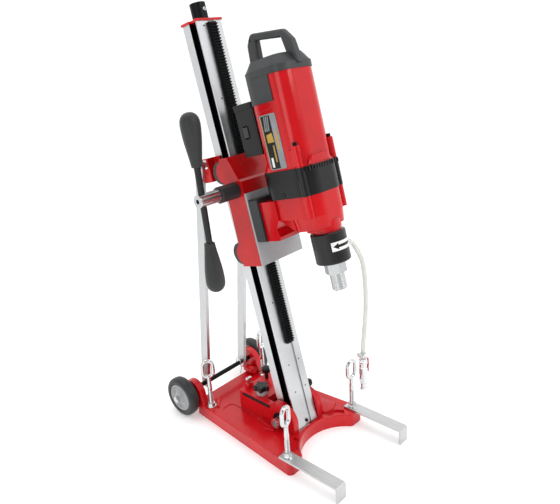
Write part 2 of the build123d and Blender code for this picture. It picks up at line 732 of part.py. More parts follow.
with BuildPart() as feed_rod:
    rod_start = hub_middle - handle_dir * (handle_down - 10)
    with BuildSketch(Plane(origin=rod_start, x_dir=(1, 0, 0), z_dir=handle_dir)):
        Circle(handle_rod_r)
    extrude(amount=handle_up + handle_down - 20)
save(feed_rod, "feed_rod")

rod_in_grip = grip_len - 10
vent_r = 1
with BuildPart() as feed_grips:
    for hand, reach in ((1, handle_up), (-1, handle_down)):
        grip_start = hub_middle + handle_dir * (hand * (reach - grip_len))
        along = handle_dir * hand
        with BuildSketch(Plane(origin=grip_start, x_dir=along, z_dir=(1, 0, 0))):
            with BuildLine():
                swell = ThreePointArc(
                    (0, grip_neck_r), (grip_len * 0.42, grip_r * 0.85), (grip_len * 0.78, grip_r),
                )
                dome = ThreePointArc(
                    swell @ 1, (grip_len * 0.78 + grip_len * 0.22 * 0.71, grip_r * 0.71), (grip_len, vent_r),
                )
                Polyline(
                    dome @ 1, (rod_in_grip + 0.3, vent_r), (rod_in_grip + 0.3, handle_rod_r + fit),
                    (0, handle_rod_r + fit), swell @ 0,
                )
            make_face()
        revolve(axis=Axis(grip_start, along))
save(feed_grips, "feed_grips")

mount_n0 = box_n + front_plate_thick + 0.1
with BuildPart() as mount_plate:
    with BuildSketch(front(mount_n0)):
        with Locations((0, (mount_low + mount_high) / 2)):
            Rectangle(2 * mount_half, mount_high - mount_low)
            with GridLocations(84, 64, 2, 2):
                Circle(5.1, mode=Mode.SUBTRACT)
    extrude(amount=mount_n - mount_n0 - 0.05)
    fillet(mount_plate.edges().filter_by(lambda e: abs((e % 0.5).dot(front_dir)) > 0.99).sort_by(
        lambda e: -abs(e.center().X))[:4], 4)
save(mount_plate, "mount_plate")

with BuildPart() as mount_screws:
    for screw_x in (-42, 42):
        for screw_s in ((mount_low + mount_high) / 2 - 32, (mount_low + mount_high) / 2 + 32):
            with BuildSketch(front(mount_n0 + 0.3, screw_x, screw_s)):
                Circle(5)
            extrude(amount=mount_n - mount_n0 - 0.6)
save(mount_screws, "mount_screws")

# ---- motor housing, cap with carrying handle, covers --------------------------------------------
motor_mid = (motor_rear + motor_front) / 2
motor_deep = motor_front - motor_rear
ring_mid = (ring_rear + ring_front) / 2
ring_deep = ring_front - ring_rear
boss_x, boss_n, boss_r = 52.5, 214, 8
boss_top = 706

with BuildPart() as motor_housing:
    with BuildSketch(rise(ring_high + 0.05)):
        with Locations((0, -motor_mid)):
            RectangleRounded(2 * motor_half, motor_deep, motor_round)
    extrude(amount=housing_top - ring_high)
    with BuildSketch(rise(ring_high + 0.05)):
        with Locations((-boss_x, -boss_n), (boss_x, -boss_n)):
            Circle(boss_r)
    extrude(amount=boss_top - ring_high)
    with BuildSketch(rise(ring_high + 0.05)):
        with Locations((0, -ring_mid)):
            RectangleRounded(2 * motor_half + 2, ring_deep - 3, ring_round)
    extrude(amount=16, taper=24)
    with BuildSketch(rise(ring_high)):
        with Locations((0, -motor_mid)):
            RectangleRounded(2 * (motor_half - shell), motor_deep - 2 * shell, motor_round - shell)
    extrude(amount=housing_top - ring_high - 16, mode=Mode.SUBTRACT)
    with BuildSketch(rise(housing_top - 20)):
        with Locations((0, -motor_n)):
            Circle(11)
    extrude(amount=25, mode=Mode.SUBTRACT)
save(motor_housing, "motor_housing")

# carrying handle: a rounded loop in the centre plane
handle_half = 9.5
with BuildPart() as carry_handle:
    with BuildSketch(flank(handle_half)) as loop:
        with BuildLine():
            Polyline(
                (97, housing_top + 10), (103, cap_top + 38), (117, cap_top + 59),
                (205, cap_top + 45), (224, cap_top + 22),
                (232, housing_top + 10), (97, housing_top + 10),
            )
        make_face()
        fillet(loop.vertices().sort_by(Axis.Y)[2:], 12)
        with BuildLine():
            Polyline(
                (127, cap_top - 10), (130, cap_top + 42), (198, cap_top + 30), (206, cap_top - 10),
                (127, cap_top - 10),
            )
        make_face(mode=Mode.SUBTRACT)
    extrude(amount=2 * handle_half)
    fillet(carry_handle.faces().filter_by(Axis.X).edges().filter_by(lambda e: e.length < 200), 6)

with BuildPart() as motor_cap:
    with BuildSketch(rise(housing_top + 0.1)):
        with Locations((0, -motor_mid)):
            RectangleRounded(2 * motor_half + 3, motor_deep + 3, motor_round)
    extrude(amount=14)
    with BuildSketch(rise(housing_top + 14)):
        with Locations((0, -motor_mid)):
            RectangleRounded(2 * motor_half + 1, motor_deep + 1, motor_round)
    extrude(amount=cap_top - housing_top - 14, taper=35)
    add(carry_handle.part)
save(motor_cap, "motor_cap")

with BuildPart() as side_covers:
    for hand in (-1, 1):
        with BuildSketch(rise(800)):
            with Locations((0, -motor_mid)):
                RectangleRounded(2 * motor_half + 4.4, motor_deep + 4.4, motor_round + 2.2)
                RectangleRounded(
                    2 * motor_half + 0.2, motor_deep + 0.2, motor_round + 0.1, mode=Mode.SUBTRACT
                )
            with Locations((hand * 55, -153)):
                Rectangle(70, 70, mode=Mode.INTERSECT)
        extrude(amount=housing_top - 800)
save(side_covers, "side_covers")

plate_low, plate_high, plate_thick = 667, 778, 0.8
plate_n, plate_width = 161, 45
with BuildPart() as rating_plate:
    with BuildSketch(flank(-motor_half - 0.1)):
        with Locations((plate_n, (plate_low + plate_high) / 2)):
            RectangleRounded(plate_width, plate_high - plate_low, 5)
    extrude(amount=plate_thick)
save(rating_plate, "rating_plate")

with BuildPart() as mid_ring:
    with BuildSketch(rise(ring_low + 0.05)):
        with Locations((0, -ring_mid)):
            RectangleRounded(2 * motor_half + 4, ring_deep, ring_round)
        with Locations((-boss_x, -boss_n), (boss_x, -boss_n)):
            Circle(boss_r + 1)
        with Locations((0, -ring_mid)):
            RectangleRounded(
                2 * (motor_half - shell), ring_deep - 4 * shell, ring_round - 2 * shell, mode=Mode.SUBTRACT
            )
    extrude(amount=ring_high - ring_low - 0.1)
    # bulkhead between motor and gears, bored for the bearings
    with BuildSketch(rise(ring_low + 0.05)):
        with Locations((0, -ring_mid)):
            RectangleRounded(2 * motor_half - 4, ring_deep - 10, ring_round - 5)
        with Locations((0, -motor_n)):
            Circle(11, mode=Mode.SUBTRACT)
        with Locations((lay_x, -lay_n)):
            Circle(8, mode=Mode.SUBTRACT)
    extrude(amount=8)
save(mid_ring, "mid_ring")

with BuildPart() as housing_screws:
    for screw_x in (-boss_x, boss_x):
        with BuildSketch(rise(boss_top + 0.1, screw_x, boss_n)):
            Circle(4.5)
            RegularPolygon(2.5, 6, mode=Mode.SUBTRACT)
        extrude(amount=7)
save(housing_screws, "housing_screws")

# ---- gear housing with its mounting foot ---------------------------------------------------------
with BuildPart() as gear_housing:
    with BuildSketch(rise(560)):
        with Locations((0, -ring_mid)):
            RectangleRounded(2 * motor_half, ring_deep - 2, ring_round)
        with Locations((-boss_x, -boss_n), (boss_x, -boss_n)):
            Circle(boss_r)
    extrude(amount=ring_low - 560)
    with BuildSketch(rise(560)):
        with Locations((0, -(ring_front + belly_rear) / 2)):
            RectangleRounded(2 * motor_half - 2, ring_front - belly_rear - 2, ring_round)
    extrude(amount=-(560 - belly_low), taper=6)
    # the underside slopes up towards the mast
    with BuildSketch(flank(motor_half - 12)):
        with BuildLine():
            Polyline(
                (112, 561), (belly_rear + 12, belly_low + 2), (belly_rear + 30, belly_low + 2),
                (belly_rear + 30, 561), (112, 561),
            )
        make_face()
    extrude(amount=2 * motor_half - 24)
    with BuildSketch(rise(gear_low)):
        with Locations((0, -spindle_n + 6)):
            Circle(37)
    extrude(amount=20)
    with BuildSketch(rise(swivel_high + 0.1)):
        with Locations((0, -spindle_n)):
            Circle(30)
    extrude(amount=6)
    # foot that bolts to the mount plate
    with BuildSketch(flank(footing_half)):
        with BuildLine():
            Polyline(
                (mount_n, mount_low), (118, mount_low), (121, mount_low + 8), (116, 545), (128, 562),
                (128, ring_low - 1), (mount_n, ring_low - 1), (mount_n, mount_low),
            )
        make_face()
    extrude(amount=2 * footing_half)
    # gear chamber, spindle bearing bore and layshaft bearing pocket
    with BuildSketch(rise(556)):
        with Locations((0, -184)):
            RectangleRounded(92, 84, 30)
    extrude(amount=ring_low - 556, mode=Mode.SUBTRACT)
    with BuildSketch(rise(swivel_high)):
        with Locations((0, -spindle_n)):
            Circle(20)
    extrude(amount=40, mode=Mode.SUBTRACT)
    with BuildSketch(rise(547)):
        with Locations((lay_x, -lay_n)):
            Circle(8)
    extrude(amount=12, mode=Mode.SUBTRACT)
save(gear_housing, "gear_housing")

# ---- motor and gear internals ---------------------------------------------------------------------
with BuildPart() as stator:
    with BuildSketch(rise(700)):
        with Locations((0, -motor_n)):
            Circle(motor_half - shell - 2)
            Circle(armature_r + 1, mode=Mode.SUBTRACT)
    extrude(amount=80)
save(stator, "stator")

bearing_places = (  # x, n, s, length, inner radius, outer radius
    (0, spindle_n, 526, 11, spindle_r, 20), (0, spindle_n, 543, 11, spindle_r, 20),
    (lay_x, lay_n, 548, 7.5, lay_r, 8), (lay_x, lay_n, ring_low + 0.3, 7.4, lay_r, 8),
    (0, motor_n, ring_low + 0.3, 7.4, armature_shaft_r, 11),
    (0, motor_n, housing_top - 13, 10, armature_shaft_r, 11),
)
with BuildPart() as bearings:
    for bearing_x, bearing_n, bearing_s, length, inner, outer in bearing_places:
        with BuildSketch(rise(bearing_s, bearing_x, bearing_n)):
            Circle(outer - fit)
            Circle(inner + fit, mode=Mode.SUBTRACT)
        extrude(amount=length)
save(bearings, "bearings")

first_pair, second_pair = (12, 36, 1.0), (12, 28, 1.5)
to_lay = math.degrees(math.atan2(-(lay_n - motor_n), lay_x))  # from the motor axis, in local axes
from_lay = math.degrees(math.atan2(-(spindle_n - lay_n), -lay_x))  # from the layshaft to the spindle
with BuildPart() as armature:
    with BuildSketch(rise(601.5, 0, motor_n)):
        Circle(armature_shaft_r)
    extrude(amount=housing_top - 4 - 601.5)
    for low, high, radius in ((702, 778, armature_r), (792, 814, 14), (668, 682, 40)):
        with BuildSketch(rise(low, 0, motor_n)):
            Circle(radius)
        extrude(amount=high - low)
    with BuildSketch(rise(590, 0, motor_n, to_lay)):
        Polygon(*gear_outline(first_pair[0], first_pair[2]), align=None)
    extrude(amount=12)
save(armature, "armature")

with BuildPart() as layshaft:
    with BuildSketch(rise(548.5, lay_x, lay_n)):
        Circle(lay_r)
    extrude(amount=612 - 548.5)
    with BuildSketch(rise(591, lay_x, lay_n, to_lay + 180 + 180 / first_pair[1])):
        Polygon(*gear_outline(first_pair[1], first_pair[2]), align=None)
    extrude(amount=10)
    with BuildSketch(rise(562, lay_x, lay_n, from_lay)):
        Polygon(*gear_outline(second_pair[0], second_pair[2]), align=None)
    extrude(amount=24)
save(layshaft, "layshaft")

with BuildPart() as spindle:
    with BuildSketch(rise(swivel_low - 0.4, 0, spindle_n)):
        Circle(spindle_r)
    extrude(amount=586 - swivel_low + 0.4)
    with BuildSketch(rise(566, 0, spindle_n, from_lay + 180 + 180 / second_pair[1])):
        Polygon(*gear_outline(second_pair[1], second_pair[2]), align=None)
    extrude(amount=18)
    with BuildSketch(rise(hex_low, 0, spindle_n)):
        RegularPolygon(hex_af / 2, 6, major_radius=False)
    extrude(amount=swivel_low - 0.4 - hex_low)
    with BuildSketch(rise(thread_low, 0, spindle_n)):
        Circle(thread_r)
    extrude(amount=hex_low - thread_low)
    chamfer(spindle.faces().sort_by(lambda f: f.center().dot(up_dir))[0].edges(), 2)
    # water bore with a cross hole into the swivel
    with BuildSketch(rise(thread_low - 1, 0, spindle_n)):
        Circle(water_bore_r)
    extrude(amount=hose_s + 3 - thread_low, mode=Mode.SUBTRACT)
    with BuildSketch(flank(spindle_r + 1, spindle_n, hose_s - 2)):
        Circle(3)
    extrude(amount=2 * spindle_r + 2, mode=Mode.SUBTRACT)
save(spindle, "spindle")

# ---- water swivel -----------------------------------------------------------------------------------
port = flank(swivel_r, spindle_n, hose_s).origin
port_dir = Vector(math.cos(math.radians(barb_droop)), 0, -math.sin(math.radians(barb_droop)))
with BuildPart() as swivel_body:
    with BuildSketch(rise(swivel_low, 0, spindle_n)):
        Circle(swivel_r)
    extrude(amount=swivel_high - swivel_low)
    fillet(swivel_body.faces().sort_by(lambda f: f.center().dot(up_dir))[0].edges(), 4)
    chamfer(swivel_body.faces().sort_by(lambda f: f.center().dot(up_dir))[-1].edges(), 2)
    with BuildSketch(rise(swivel_low - 1, 0, spindle_n)):
        Circle(17)
    extrude(amount=swivel_high - swivel_low + 2, mode=Mode.SUBTRACT)
    with BuildSketch(Plane(origin=port - port_dir * 24, z_dir=port_dir)):
        Circle(4)
    extrude(amount=30, mode=Mode.SUBTRACT)
save(swivel_body, "swivel_body")

with BuildPart() as swivel_seals:
    for seal_s in (swivel_low + 1, hose_s - 22, hose_s + 12, swivel_high - 11):
        with BuildSketch(rise(seal_s, 0, spindle_n)):
            Circle(17 - fit)
            Circle(spindle_r + fit, mode=Mode.SUBTRACT)
        extrude(amount=9)
save(swivel_seals, "swivel_seals")

hex_nut, hose_gap = 6.5, 0.3
hose_start = port + port_dir * (hex_nut + hose_gap)
with BuildPart() as swivel_barb:
    with BuildSketch(Plane(origin=port - port_dir * 5, z_dir=port_dir)):
        Circle(4 - fit)
    extrude(amount=8)
    with BuildSketch(Plane(origin=port + port_dir * 2.4, z_dir=port_dir)):
        RegularPolygon(8.5, 6)
    extrude(amount=hex_nut - 2.4)
    with BuildSketch(Plane(origin=port, z_dir=port_dir)):
        Circle(hose_bore_r - 0.05)
    extrude(amount=hex_nut + 8)
    with BuildSketch(Plane(origin=port - port_dir * 6, z_dir=port_dir)):
        Circle(2)
    extrude(amount=30, mode=Mode.SUBTRACT)
save(swivel_barb, "swivel_barb")

# ---- hose, clamp, valve ------------------------------------------------------------------------------
hose_line_points = [hose_start, hose_start + port_dir * 13] + [Vector(x, port.Y, z) for x, z in hose_points]
runs = [b - a for a, b in zip(hose_line_points, hose_line_points[1:])]
radii = [
    0.45 * min(a.length, b.length) / math.tan(math.radians(a.get_angle(b)) / 2)
    for a, b in zip(runs, runs[1:])
]
with BuildPart() as water_hose:
    with BuildLine() as hose_line:
        FilletPolyline(*hose_line_points, radius=radii)
    hose_path = hose_line.wires()[0]
    with BuildSketch(Plane(origin=hose_path @ 0, z_dir=hose_path % 0)):
        Circle(hose_r)
        Circle(hose_bore_r, mode=Mode.SUBTRACT)
    sweep(path=hose_path)
save(water_hose, "water_hose")
section = math.pi * (hose_r**2 - hose_bore_r**2)
print("hose radii", [round(r) for r in radii], "length", round(hose_path.length, 1))
print("hose points", [(round(p.X, 2), round(p.Y, 2), round(p.Z, 2)) for p in hose_line_points])
print("hose volume over section times length", round(water_hose.part.volume / section / hose_path.length, 4))

valve_x, valve_z = hose_points[-1]
with BuildPart() as hose_clamp:
    with BuildSketch(Plane.XY.offset(valve_z + 6)):
        with Locations((valve_x, port.Y)):
            Circle(hose_r + 1.6)
        with Locations((valve_x - hose_r - 3, port.Y)):
            Rectangle(7, 7)
        with Locations((valve_x, port.Y)):
            Circle(hose_r + 0.1, mode=Mode.SUBTRACT)
    extrude(amount=9)
save(hose_clamp, "hose_clamp")

with BuildPart() as water_valve:
    with BuildSketch(Plane.XY.offset(valve_z - 0.05 - valve_len)):
        with Locations((valve_x, port.Y)):
            RegularPolygon(valve_r, 8)
    extrude(amount=valve_len)
    with BuildSketch(Plane.XY.offset(valve_z - 0.05)):
        with Locations((valve_x, port.Y)):
            Circle(hose_bore_r - 0.05)
    extrude(amount=11)
    with BuildSketch(Plane.XY.offset(valve_z - valve_len - 20)):
        with Locations((valve_x, port.Y)):
            Circle(6)
    extrude(amount=21)
    with BuildSketch(side(valve_x, port.Y, valve_z - 20)):
        Circle(4)
    extrude(amount=valve_r + 5)
    with BuildSketch(Plane.XY.offset(valve_z - valve_len - 21)):
        with Locations((valve_x, port.Y)):
            Circle(2.6)
    extrude(amount=valve_len + 45, mode=Mode.SUBTRACT)
save(water_valve, "water_valve")

lever_thick = 3.4
with BuildPart() as valve_lever:
    with BuildSketch(side(valve_x + valve_r + 1.5, port.Y, valve_z - 20)):
        Circle(7)
        with Locations((0, -2)):
            Rectangle(12, 36)
        Circle(4 + fit, mode=Mode.SUBTRACT)
    extrude(amount=lever_thick)
save(valve_lever, "valve_lever")

# ---- switch box behind the motor ----------------------------------------------------------------------
box_half, box_low, box_high, box_rear = 40, 702, 800, 53
rocker_x, rocker_n, rocker_s, rocker_pin_r = -box_half + 3, box_rear + 22, 753, 1.5
with BuildPart() as switch_box:
    with BuildSketch(rise(box_low)):
        with Locations((0, -(box_rear + motor_rear - 0.1) / 2)):
            RectangleRounded(2 * box_half, motor_rear - 0.1 - box_rear, 4)
    extrude(amount=box_high - box_low)
    with BuildSketch(rise(box_high)):
        with Locations((0, -(box_rear + motor_rear - 0.1) / 2)):
            RectangleRounded(2 * box_half + 6, motor_rear - 0.1 - box_rear, 5)
    extrude(amount=12)
    with BuildSketch(flank(-box_half + 10)):
        with Locations((rocker_n, rocker_s)):
            Rectangle(15, 27)
    extrude(amount=13, mode=Mode.SUBTRACT)
    with BuildSketch(front(rocker_n - 12, rocker_x, rocker_s)):
        Circle(rocker_pin_r + fit)
    extrude(amount=24, mode=Mode.SUBTRACT)
save(switch_box, "switch_box")

with BuildPart() as switch_rocker:
    with BuildSketch(flank(-box_half + 8)):
        with Locations((rocker_n, rocker_s)):
            Rectangle(14, 22)
    extrude(amount=10)
    with BuildSketch(front(rocker_n - 11, rocker_x, rocker_s)):
        Circle(rocker_pin_r)
    extrude(amount=22)
save(switch_rocker, "switch_rocker")
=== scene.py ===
import math

import bmesh
import bpy
from mathutils import Matrix, Vector


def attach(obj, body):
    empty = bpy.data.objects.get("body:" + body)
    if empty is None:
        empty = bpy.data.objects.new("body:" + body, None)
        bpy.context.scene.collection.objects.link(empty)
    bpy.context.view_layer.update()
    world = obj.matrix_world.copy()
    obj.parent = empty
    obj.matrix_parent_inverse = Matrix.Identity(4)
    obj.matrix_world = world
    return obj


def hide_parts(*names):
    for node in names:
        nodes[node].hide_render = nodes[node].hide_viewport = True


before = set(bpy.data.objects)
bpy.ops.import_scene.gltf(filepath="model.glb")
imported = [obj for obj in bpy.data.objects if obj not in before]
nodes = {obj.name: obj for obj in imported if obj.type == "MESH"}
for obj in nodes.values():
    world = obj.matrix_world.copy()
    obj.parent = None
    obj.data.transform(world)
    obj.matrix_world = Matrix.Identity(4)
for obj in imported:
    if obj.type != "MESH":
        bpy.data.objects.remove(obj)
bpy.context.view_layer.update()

mm = 0.001

# the mast leans back; places on it are given as x, n in front of its face, s along it, all in mm
mastLean = math.radians(13.5)
upDir = Vector((0, math.sin(mastLean), math.cos(mastLean)))
frontDir = Vector((0, -math.cos(mastLean), math.sin(mastLean)))


def onMast(x, n, s):
    return (Vector((x, 0, 0)) + frontDir * n + upDir * s) * mm


def linear(hexCode):
    parts = [int(hexCode[i:i + 2], 16) / 255 for i in (0, 2, 4)]
    return [p / 12.92 if p <= 0.04045 else ((p + 0.055) / 1.055) ** 2.4 for p in parts] + [1.0]


def addObject(name, data):
    made = bpy.data.objects.new(name, data)
    bpy.context.scene.collection.objects.link(made)
    return made


def fillInputs(tree, node, inputs):
    # a socket given as an input is linked, any other value is set
    for name, value in inputs.items():
        if isinstance(value, bpy.types.NodeSocket):
            tree.links.new(value, node.inputs[name])
        else:
            node.inputs[name].default_value = value


def addNode(tree, kind, inputs=None, **settings):
    node = tree.nodes.new(kind)
    for name, value in settings.items():
        setattr(node, name, value)
    fillInputs(tree, node, inputs or {})
    return node


def startMaterial(name):
    material = bpy.data.materials.new(name)
    material.use_nodes = True
    tree = material.node_tree
    tree.nodes.clear()
    output = addNode(tree, "ShaderNodeOutputMaterial")
    shader = addNode(tree, "ShaderNodeBsdfPrincipled")
    tree.links.new(shader.outputs[0], output.inputs[0])
    place = addNode(tree, "ShaderNodeTexCoord").outputs["Object"]
    return material, tree, shader, place


def perMetre(size):
    return 1 / (size * mm)

def noise(tree, vector, size, detail):
    # a cloudy pattern with patches of about size mm
    pattern = addNode(tree, "ShaderNodeTexNoise", {
        "Vector": vector, "Scale": perMetre(size), "Detail": detail,
    })
    return pattern.outputs["Fac"]


def twoTone(tree, value, low, high, dark, light):
    tone = addNode(tree, "ShaderNodeValToRGB", {"Fac": value})
    for element, position, colour in zip(tone.color_ramp.elements, (low, high), (dark, light)):
        element.position = position
        element.color = colour
    return tone.outputs["Color"]


def spread(tree, value, least, most):
    ranged = addNode(tree, "ShaderNodeMapRange", {"Value": value, "To Min": least, "To Max": most})
    return ranged.outputs["Result"]


def relief(tree, height, strength, distance, edge):
    # fine relief, with edges that look rounded by edge mm
    softEdge = addNode(tree, "ShaderNodeBevel", {"Radius": edge * mm}, samples=4)
    bump = addNode(tree, "ShaderNodeBump", {
        "Height": height, "Strength": strength, "Distance": distance * mm,
        "Normal": softEdge.outputs["Normal"],
    })
    return bump.outputs["Normal"]


def brighter(colour, factor):
    return [min(1, c * factor) for c in colour[:3]] + [1]


# cast and pressed parts, sprayed with gloss enamel: an orange-peel skin, with a colour a little uneven
def glossEnamel(name, paint, shade, peel=1.6, peelDepth=0.06, roughness=0.2, edge=1.2):
    material, tree, shader, place = startMaterial(name)
    fillInputs(tree, shader, {
        "Base Color": twoTone(tree, noise(tree, place, 90, 4.0), 0.35, 0.62, linear(shade), linear(paint)),
        "Roughness": spread(tree, noise(tree, place, 25, 5.0), roughness - 0.05, roughness + 0.1),
        "Normal": relief(tree, noise(tree, place, peel, 1.5), peelDepth, 0.4, edge),
        "IOR": 1.5,
        "Specular IOR Level": 0.35,
        "Coat Weight": 0.12,
        "Coat Roughness": 0.06,
    })
    return material


# metal that was drawn, rolled, brushed or plated: fine lines along one direction, cloudy plating
def metal(
    name, colour, roughness, stretch=(1, 1, 1), turn=(0, 0, 0), line=0.8, depth=0.08, cloud=30, edge=0.6,
):
    material, tree, shader, place = startMaterial(name)
    turned = addNode(tree, "ShaderNodeMapping", {"Vector": place, "Rotation": turn, "Scale": stretch})
    lines = noise(tree, turned.outputs["Vector"], line, 3.0)
    base = linear(colour)
    fillInputs(tree, shader, {
        "Base Color": twoTone(tree, lines, 0.3, 0.7, brighter(base, 0.82), base),
        "Roughness": spread(tree, noise(tree, place, cloud, 4.0), roughness - 0.07, roughness + 0.09),
        "Normal": relief(tree, lines, depth, 0.2, edge),
        "Metallic": 1.0,
    })
    return material


# moulded plastic or rubber: a fine spark-eroded grain and a slight sheen difference where hands touch
def moulded(name, colour, roughness, grain=0.9, depth=0.15, ior=1.5, edge=0.8, sheen=0.0):
    material, tree, shader, place = startMaterial(name)
    wear = noise(tree, place, 35, 4.0)
    base = linear(colour)
    fillInputs(tree, shader, {
        "Base Color": twoTone(tree, wear, 0.3, 0.75, brighter(base, 0.8), brighter(base, 1.12)),
        "Roughness": spread(tree, wear, roughness - 0.08, roughness + 0.1),
        "Normal": relief(tree, noise(tree, place, grain, 2.0), depth, 0.15, edge),
        "IOR": ior,
        "Specular IOR Level": 0.35,
        "Sheen Weight": sheen,
    })
    return material


alongMast = (-mastLean, 0, 0)
baseEnamel = glossEnamel("signalRedEnamel", "cf0a18", "bd0814", roughness=0.22)
motorEnamel = glossEnamel("motorRedEnamel", "c8000c", "b4000a", peel=1.2, roughness=0.16)
carriageEnamel = glossEnamel("carriageRedEnamel", "c80a0e", "b2080b", roughness=0.22)
extruded = metal("anodisedAluminium", "d3d5d7", 0.3, stretch=(1, 1, 0.02), turn=alongMast, line=0.7)
# near-black metal colour for the faces deep in the mast's side grooves
nearBlackGroove = metal("nearBlackGrooveMetal", "2c2d2f", 0.3, stretch=(1, 1, 0.02), turn=alongMast, line=0.7)
# black oxide steel; the same dark colour also paints the shade inside the mast's holes
blackOxideAndHoleShade = metal("blackOxideSteelAndHoleShade", "232425", 0.42, line=1.5)
brightZinc = metal("brightZincPlate", "dcdedf", 0.17, line=2.5, depth=0.03)
barSteel = metal("rolledBarSteel", "cfd0d0", 0.33, stretch=(1, 0.04, 1), line=0.9)
strutSteel = metal("drawnFlatSteel", "cdcfd0", 0.3, stretch=(1, 1, 0.03), line=0.9)
turnedSteel = metal("turnedSteel", "c9cbcc", 0.22, stretch=(0.05, 1, 1), line=0.6)
platePaint = glossEnamel("lightGreyPaint", "a9abad", "9c9ea0", roughness=0.4)
darkPaint = glossEnamel("graphitePaint", "2e3133", "26282a", roughness=0.42)
# black moulded plastic; the same colour also paints the shade inside the carrying handle's drain hole
blackAbsAndHoleShade = moulded("blackAbsAndHoleShade", "0e0f0f", 0.28)
greyAbs = moulded("charcoalAbs", "383a3b", 0.42)
gripRubber = moulded("gripRubber", "2a2b2c", 0.5, grain=1.2, sheen=0.1)
tyreRubber = moulded("wheelRubber", "303133", 0.42, grain=1.0)
rimPlastic = moulded("greyPolyamide", "b4b6b8", 0.35)
chrome = metal("chromePlate", "e4e6e8", 0.1, line=3, depth=0.01, cloud=60)
leverVinyl = moulded("redVinylLever", "d0202a", 0.35)
seal = moulded("blackNitrile", "141414", 0.5)
swivelPaint = glossEnamel("swivelBlackPaint", "101112", "0b0c0c", roughness=0.3)
printedFilm = moulded("printedFilm", "8d8f92", 0.25, depth=0.02)
printBlack = moulded("printedBlackFilm", "0c0c0d", 0.3, depth=0.02)
printGold = moulded("printedGoldFilm", "b8953f", 0.3, depth=0.02)
printWhite = moulded("printedWhiteFilm", "ececea", 0.35, depth=0.02)
print("materials ready")

finishOf = {
    baseEnamel: ["base_plate", "tilt_bracket", "top_cap"],
    motorEnamel: ["motor_housing", "gear_housing"],
    carriageEnamel: ["carriage_casting", "strut_clamp"],
    extruded: ["mast_profile"],
    blackOxideAndHoleShade: ["rack", "housing_screws", "cross_rod", "brace_tube"],
    brightZinc: [
        "pivot_bolt", "flange_nuts", "wheel_axles", "r_clip", "eye_bolt_fl", "eye_bolt_fr", "eye_bolt_rl",
        "eye_bolt_rr", "clamp_bolts", "strut_bolts", "mount_screws", "hose_clamp", "swivel_barb", "bearings",
    ],
    barSteel: ["outrigger_left", "outrigger_right"],
    strutSteel: ["strut_left", "strut_right"],
    turnedSteel: ["feed_shaft", "feed_hub", "spindle", "layshaft", "armature", "stator"],
    platePaint: ["front_plate"],
    darkPaint: ["mount_plate", "feed_collar"],
    blackAbsAndHoleShade: ["mid_ring", "switch_box", "scale_strip", "tilt_knob"],
    greyAbs: ["motor_cap", "side_covers", "guide_pads", "guide_discs", "switch_rocker"],
    gripRubber: ["feed_grips"],
    tyreRubber: ["tyre_left", "tyre_right"],
    rimPlastic: ["rim_left", "rim_right"],
    chrome: ["water_valve"],
    leverVinyl: ["valve_lever"],
    seal: ["swivel_seals", "water_hose"],
    swivelPaint: ["swivel_body", "feed_rod"],
    printedFilm: ["rating_plate"],
}
for material, names in finishOf.items():
    for name in names:
        slots = nodes[name].data.materials
        slots.clear()
        slots.append(material)
for name, node in nodes.items():
    assert node.data.materials[0] in finishOf, name

# camera: place, lens and sensor in mm, angles in degrees
camera = {
    "place": (-927.8, -827.4, 961.2), "azimuth": -46.085, "elevation": 20.645, "roll": -3.709,
    "lens": 38.98, "sensor": 36,
}
azimuth, elevation, roll = (math.radians(camera[k]) for k in ("azimuth", "elevation", "roll"))
away = math.cos(elevation)
back = Vector((math.sin(azimuth) * away, -math.cos(azimuth) * away, math.sin(elevation)))
right = (-back).cross(Vector((0, 0, 1))).normalized()
up = right.cross(-back)
rightRolled = right * math.cos(roll) + up * math.sin(roll)
upRolled = up * math.cos(roll) - right * math.sin(roll)
cameraData = bpy.data.cameras.new("camera")
cameraData.lens = camera["lens"]
cameraData.sensor_width = camera["sensor"]
cameraObject = addObject("camera", cameraData)
turn = Matrix((rightRolled, upRolled, back)).transposed().to_4x4()
cameraObject.matrix_world = Matrix.Translation(Vector(camera["place"]) * mm) @ turn
bpy.context.scene.camera = cameraObject


# shared makers of the smooth and small pieces; sizes in mm, places in metres
def lathe(bm, profile, origin, axis, steps=72, closed=False):
    axis = Vector(axis).normalized()
    first = axis.orthogonal().normalized()
    second = axis.cross(first)
    rings = []
    for along, radius in profile:
        centre = Vector(origin) + axis * (along * mm)
        turns = [2 * math.pi * i / steps for i in range(steps)] if radius else [0]
        rings.append([
            bm.verts.new(centre + (first * math.cos(a) + second * math.sin(a)) * (radius * mm)) for a in turns
        ])
    pairs = list(zip(rings, rings[1:]))
    if closed:
        pairs.append((rings[-1], rings[0]))
    for low, high in pairs:
        for i in range(steps):
            j = (i + 1) % steps
            ring = [low[i % len(low)], low[j % len(low)], high[j % len(high)], high[i % len(high)]]
            corners = list(dict.fromkeys(ring))
            if len(corners) > 2:
                bm.faces.new(corners)
    if not closed:
        for ring in (rings[0], rings[-1]):
            if len(ring) > 1:
                bm.faces.new(ring)


def oblong(left, right, low, high):
    return [(left, low), (right, low), (right, high), (left, high)]


def slab(bm, outline, low, high, put, inset=0.0):
    # outline is (u, v) points, put(u, v, w) gives the place; the far face can be drawn in for a draft angle
    middle = [sum(p[k] for p in outline) / len(outline) for k in (0, 1)]
    drawn = [tuple(m + (c - m) * (1 - inset) for c, m in zip(p, middle)) for p in outline]
    under = [bm.verts.new(put(u, v, low)) for u, v in outline]
    over = [bm.verts.new(put(u, v, high)) for u, v in drawn]
    bm.faces.new(under)
    bm.faces.new(over)
    for i in range(len(outline)):
        j = (i + 1) % len(outline)
        bm.faces.new((under[i], under[j], over[j], over[i]))


